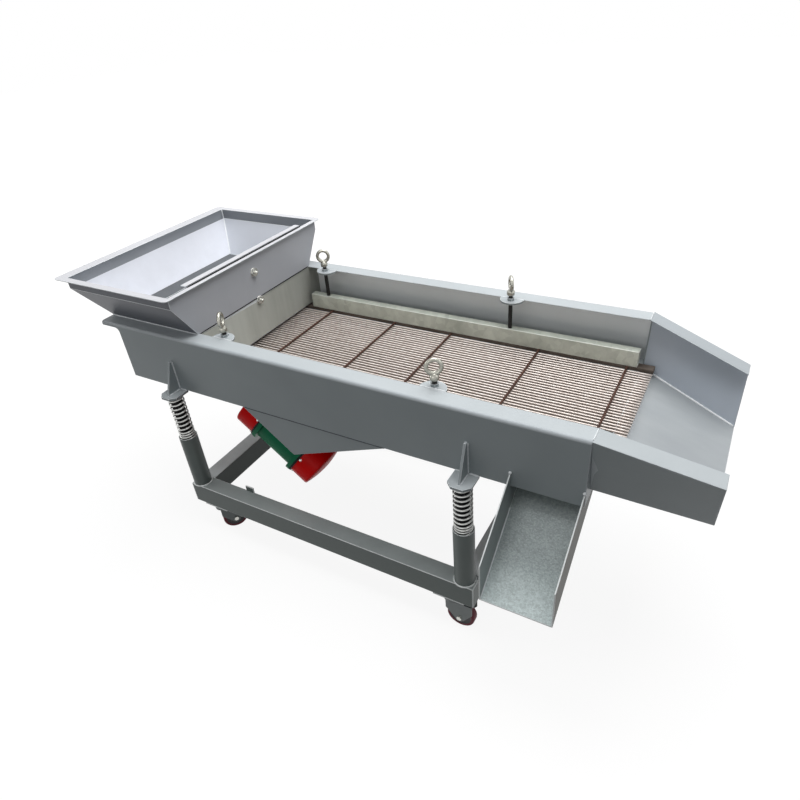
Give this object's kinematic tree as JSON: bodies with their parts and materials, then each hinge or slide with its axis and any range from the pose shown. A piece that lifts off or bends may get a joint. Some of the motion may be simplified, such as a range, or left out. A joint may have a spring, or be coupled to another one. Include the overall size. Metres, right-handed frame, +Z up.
{
  "type": "vibrating sieve",
  "caption": "Linear vibrating sieve with a feed hopper, wire screen deck, side fines chute and discharge spout on a sprung caster frame.",
  "frame": {"origin": "centre of the overall box, on the floor under the casters", "axes": "+X from the hopper to the discharge spout, -Y the side with the fines chute, +Z up"},
  "size_m": [1.772, 0.83, 0.828],
  "materials": {
    "trough_paint": "satin grey paint on folded steel sheet",
    "hopper_paint": "satin light grey paint",
    "chute_paint": "hammered light grey paint",
    "zinc": "bright zinc plate",
    "galvanised": "galvanised steel",
    "screen_steel": "drawn steel wire",
    "rod_steel": "dark oxidised steel",
    "frame_paint": "satin dark grey paint",
    "spring_steel": "bare spring steel",
    "motor_green": "green enamel on cast iron",
    "motor_red": "red enamel on pressed steel",
    "rotor_iron": "machined iron",
    "fork_paint": "dark grey paint",
    "axle_zinc": "zinc plate",
    "wheel_plastic": "maroon moulded tread"
  },
  "bodies": {
    "base": {"rail_near": "frame_paint", "rail_far": "frame_paint", "cross_rail_feed": "frame_paint", "cross_rail_discharge": "frame_paint", "rail_end_caps": "frame_paint", "rail_lug": "frame_paint", "spring_posts": "frame_paint", "caster_plates": "frame_paint", "spring_near_feed": "spring_steel", "spring_near_discharge": "spring_steel", "spring_far_feed": "spring_steel", "spring_far_discharge": "spring_steel"},
    "trough": {"trough_side_near": "trough_paint", "trough_side_far": "trough_paint", "feed_end_plate": "trough_paint", "bottom_pan": "trough_paint", "seam_frame": "trough_paint", "spout_wall_near": "trough_paint", "spout_wall_far": "trough_paint", "spout_floor": "trough_paint", "chute_floor": "chute_paint", "chute_walls": "chute_paint", "hopper": "hopper_paint", "feed_baffle": "trough_paint", "gate_bolts": "zinc", "deck_ledges": "trough_paint", "screen_strips": "trough_paint", "screen_rods": "rod_steel", "screen_wires": "screen_steel", "feed_plate": "trough_paint", "hold_down_bar_near": "galvanised", "hold_down_bar_far": "galvanised", "jack_tabs": "trough_paint", "spring_seats": "trough_paint", "motor_bracket_near": "trough_paint", "motor_bracket_far": "trough_paint", "motor_mount_plate": "trough_paint", "motor_bolts": "zinc", "motor_body_near": "motor_green", "motor_body_far": "motor_green", "motor_covers": "motor_red"},
    "gate": {"feed_gate": "hopper_paint"},
    "jack_near_feed": {"jack_near_feed": "zinc"},
    "jack_near_discharge": {"jack_near_discharge": "zinc"},
    "jack_far_feed": {"jack_far_feed": "zinc"},
    "jack_far_discharge": {"jack_far_discharge": "zinc"},
    "rotor_near": {"motor_rotor_near": "rotor_iron"},
    "rotor_far": {"motor_rotor_far": "rotor_iron"},
    "fork_near_feed": {"fork_near_feed": "fork_paint", "axle_near_feed": "axle_zinc"},
    "wheel_near_feed": {"wheel_near_feed": "wheel_plastic"},
    "fork_near_discharge": {"fork_near_discharge": "fork_paint", "axle_near_discharge": "axle_zinc"},
    "wheel_near_discharge": {"wheel_near_discharge": "wheel_plastic"},
    "fork_far_feed": {"fork_far_feed": "fork_paint", "axle_far_feed": "axle_zinc"},
    "wheel_far_feed": {"wheel_far_feed": "wheel_plastic"},
    "fork_far_discharge": {"fork_far_discharge": "fork_paint", "axle_far_discharge": "axle_zinc"},
    "wheel_far_discharge": {"wheel_far_discharge": "wheel_plastic"}
  },
  "joints": [
    {"name": "trough_throw", "type": "slide", "parent": "base", "child": "trough", "axis": [0.6272, 0, 0.7788], "range_m": [-0.005, 0.005], "stiffness_N_per_m": 60000, "springref_m": 0.01894, "deforming": ["spring_near_feed", "spring_near_discharge", "spring_far_feed", "spring_far_discharge"]},
    {"name": "gate_lift", "type": "slide", "parent": "trough", "child": "gate", "axis": [0, 0, 1], "range_m": [0, 0.02]},
    {"name": "jack_turn_near_feed", "type": "hinge", "parent": "trough", "child": "jack_near_feed", "pos_m": [-0.367, -0.18, 0.69], "axis": [0, 0, 1], "continuous": true},
    {"name": "jack_turn_near_discharge", "type": "hinge", "parent": "trough", "child": "jack_near_discharge", "pos_m": [0.268, -0.18, 0.69], "axis": [0, 0, 1], "continuous": true},
    {"name": "jack_turn_far_feed", "type": "hinge", "parent": "trough", "child": "jack_far_feed", "pos_m": [-0.367, 0.294, 0.69], "axis": [0, 0, 1], "continuous": true},
    {"name": "jack_turn_far_discharge", "type": "hinge", "parent": "trough", "child": "jack_far_discharge", "pos_m": [0.268, 0.294, 0.69], "axis": [0, 0, 1], "continuous": true},
    {"name": "rotor_spin_near", "type": "hinge", "parent": "trough", "child": "rotor_near", "pos_m": [-0.25125, -0.141, 0.36973], "axis": [0.7788, 0, -0.6272], "continuous": true},
    {"name": "rotor_spin_far", "type": "hinge", "parent": "trough", "child": "rotor_far", "pos_m": [-0.25125, 0.255, 0.36973], "axis": [0.7788, 0, -0.6272], "continuous": true},
    {"name": "swivel_near_feed", "type": "hinge", "parent": "base", "child": "fork_near_feed", "pos_m": [-0.484, -0.268, 0.099], "axis": [0, 0, 1], "continuous": true},
    {"name": "roll_near_feed", "type": "hinge", "parent": "fork_near_feed", "child": "wheel_near_feed", "pos_m": [-0.46794, -0.24506, 0.039], "axis": [-0.8192, 0.5736, 0], "continuous": true},
    {"name": "swivel_near_discharge", "type": "hinge", "parent": "base", "child": "fork_near_discharge", "pos_m": [0.335, -0.268, 0.099], "axis": [0, 0, 1], "continuous": true},
    {"name": "roll_near_discharge", "type": "hinge", "parent": "fork_near_discharge", "child": "wheel_near_discharge", "pos_m": [0.363, -0.268, 0.039], "axis": [0, 1, 0], "continuous": true},
    {"name": "swivel_far_feed", "type": "hinge", "parent": "base", "child": "fork_far_feed", "pos_m": [-0.484, 0.382, 0.099], "axis": [0, 0, 1], "continuous": true},
    {"name": "roll_far_feed", "type": "hinge", "parent": "fork_far_feed", "child": "wheel_far_feed", "pos_m": [-0.456, 0.382, 0.039], "axis": [0, 1, 0], "continuous": true},
    {"name": "swivel_far_discharge", "type": "hinge", "parent": "base", "child": "fork_far_discharge", "pos_m": [0.335, 0.382, 0.099], "axis": [0, 0, 1], "continuous": true},
    {"name": "roll_far_discharge", "type": "hinge", "parent": "fork_far_discharge", "child": "wheel_far_discharge", "pos_m": [0.363, 0.382, 0.039], "axis": [0, 1, 0], "continuous": true}
  ],
  "couplings": [
    {"joint": "rotor_spin_far", "follows": "rotor_spin_near", "ratio": -1}
  ]
}
